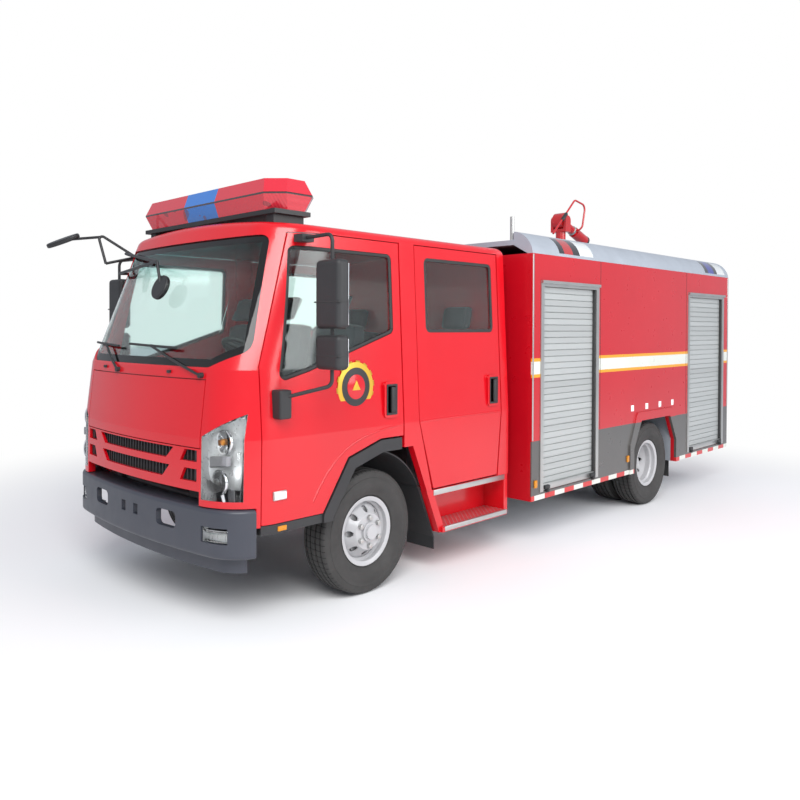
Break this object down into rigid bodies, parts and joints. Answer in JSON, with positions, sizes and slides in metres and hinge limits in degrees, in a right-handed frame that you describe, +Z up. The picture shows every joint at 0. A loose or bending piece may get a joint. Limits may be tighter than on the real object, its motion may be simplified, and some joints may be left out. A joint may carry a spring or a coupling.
{
  "type": "airport fire truck",
  "caption": "Light airport fire truck with a crew cab, roller-shutter equipment body, roof light bar and roof water monitor; doors, lid, steering, wheels and monitor move.",
  "frame": {"origin": "On the ground, under the middle of the overall length and width.", "axes": "+X points forward, +Y to the vehicle's left, +Z up."},
  "size_m": [6.94, 2.67, 3.1213],
  "materials": {
    "cab_red": "gloss red paint",
    "body_red": "gloss red paint, slightly darker",
    "dark_grey_paint": "satin dark grey paint",
    "chassis_black": "satin black paint",
    "shutter_silver": "satin anodised",
    "body_aluminium": "brushed",
    "rim_silver": "silver paint",
    "black_plastic": "moulded, fine grain",
    "cab_trim": "moulded, fine grain",
    "seat_cloth": "woven",
    "glazing": "clear, light green tint",
    "lamp_clear": "clear lamp cover",
    "lamp_red": "tinted lamp cover",
    "monitor_red": "gloss red paint",
    "bright_steel": "satin stainless",
    "tyre_rubber": "worn rubber",
    "rubber_black": "plain sheet"
  },
  "bodies": {
    "chassis": {"frame_rails": "chassis_black", "crossmembers": "chassis_black", "driveline": "chassis_black", "front_axle": "chassis_black", "rear_axle": "chassis_black", "leaf_springs": "chassis_black", "cab_shell": "cab_red", "cab_floor": "cab_trim", "cab_steps": "cab_red", "arch_liners": "black_plastic", "bumper": "dark_grey_paint", "grille": "black_plastic", "front_lamps": "lamp_clear", "windscreen": "glazing", "wipers": "black_plastic", "dashboard": "cab_trim", "steering_wheel": "black_plastic", "front_seats": "seat_cloth", "rear_seat": "seat_cloth", "light_bar_base": "chassis_black", "light_bar_lens": "lamp_red", "view_mirrors": "chassis_black", "body_sides": "body_red", "body_end_walls": "body_red", "body_floor": "body_aluminium", "locker_floors": "body_aluminium", "roof_deck": "body_aluminium", "cornices": "body_aluminium", "body_lamps": "lamp_red", "shutter_curtains": "shutter_silver", "shutter_frames": "shutter_silver", "monitor_base": "monitor_red", "rear_bar": "chassis_black", "ladder_and_posts": "bright_steel", "mudflaps": "rubber_black"},
    "lid": {"front_lid": "cab_red"},
    "door_front_left": {"door_front_left": "cab_red", "window_front_left": "glazing", "mirrors_left": "black_plastic"},
    "door_front_right": {"door_front_right": "cab_red", "window_front_right": "glazing", "mirrors_right": "black_plastic"},
    "door_rear_left": {"door_rear_left": "cab_red", "window_rear_left": "glazing"},
    "door_rear_right": {"door_rear_right": "cab_red", "window_rear_right": "glazing"},
    "turret": {"monitor_turret": "monitor_red"},
    "barrel": {"monitor_barrel": "monitor_red"},
    "knuckle_left": {"knuckle_left": "chassis_black"},
    "knuckle_right": {"knuckle_right": "chassis_black"},
    "tie_rod": {"tie_rod": "chassis_black"},
    "wheel_front_left": {"rim_front_left": "rim_silver", "tyre_front_left": "tyre_rubber"},
    "wheel_front_right": {"rim_front_right": "rim_silver", "tyre_front_right": "tyre_rubber"},
    "wheels_rear_left": {"rims_rear_left": "rim_silver", "tyres_rear_left": "tyre_rubber"},
    "wheels_rear_right": {"rims_rear_right": "rim_silver", "tyres_rear_right": "tyre_rubber"}
  },
  "joints": [
    {"name": "steer_left", "type": "hinge", "parent": "chassis", "child": "knuckle_left", "pos_m": [2.27, 0.745, 0.4025], "axis": [0, 0, 1], "range_deg": [-35, 35]},
    {"name": "steer_right", "type": "hinge", "parent": "chassis", "child": "knuckle_right", "pos_m": [2.27, -0.745, 0.4025], "axis": [0, 0, 1], "range_deg": [-35, 35]},
    {"name": "tie_rod_pivot", "type": "hinge", "parent": "knuckle_left", "child": "tie_rod", "pos_m": [2.1, 0.657, 0.315], "axis": [0, 0, 1], "range_deg": [-39.69, 39.69]},
    {"name": "spin_front_left", "type": "hinge", "parent": "knuckle_left", "child": "wheel_front_left", "pos_m": [2.27, 0.8275, 0.4025], "axis": [0, 1, 0], "continuous": true},
    {"name": "spin_front_right", "type": "hinge", "parent": "knuckle_right", "child": "wheel_front_right", "pos_m": [2.27, -0.8275, 0.4025], "axis": [0, 1, 0], "continuous": true},
    {"name": "spin_rear_left", "type": "hinge", "parent": "chassis", "child": "wheels_rear_left", "pos_m": [-1.545, 0.8265, 0.4025], "axis": [0, 1, 0], "continuous": true},
    {"name": "spin_rear_right", "type": "hinge", "parent": "chassis", "child": "wheels_rear_right", "pos_m": [-1.545, -0.8265, 0.4025], "axis": [0, 1, 0], "continuous": true},
    {"name": "open_door_front_left", "type": "hinge", "parent": "chassis", "child": "door_front_left", "pos_m": [3.167, 0.992, 1.4], "axis": [0, 0, 1], "range_deg": [-70, 0]},
    {"name": "open_door_front_right", "type": "hinge", "parent": "chassis", "child": "door_front_right", "pos_m": [3.167, -0.992, 1.4], "axis": [0, 0, 1], "range_deg": [0, 70]},
    {"name": "open_door_rear_left", "type": "hinge", "parent": "chassis", "child": "door_rear_left", "pos_m": [1.83, 0.992, 1.4], "axis": [0, 0, 1], "range_deg": [-75, 0]},
    {"name": "open_door_rear_right", "type": "hinge", "parent": "chassis", "child": "door_rear_right", "pos_m": [1.83, -0.992, 1.4], "axis": [0, 0, 1], "range_deg": [0, 75]},
    {"name": "open_front_lid", "type": "hinge", "parent": "chassis", "child": "lid", "pos_m": [3.42, 0, 1.42], "axis": [0, 1, 0], "range_deg": [-75, 0]},
    {"name": "monitor_yaw", "type": "hinge", "parent": "chassis", "child": "turret", "pos_m": [-1.67, 0, 2.56], "axis": [0, 0, 1], "range_deg": [-170, 170]},
    {"name": "monitor_pitch", "type": "hinge", "parent": "turret", "child": "barrel", "pos_m": [-1.67, 0, 2.89], "axis": [0, 1, 0], "range_deg": [-15, 70]}
  ],
  "couplings": [
    {"joint": "steer_right", "follows": "steer_left", "ratio": 1},
    {"joint": "tie_rod_pivot", "follows": "steer_left", "ratio": -1.134}
  ]
}
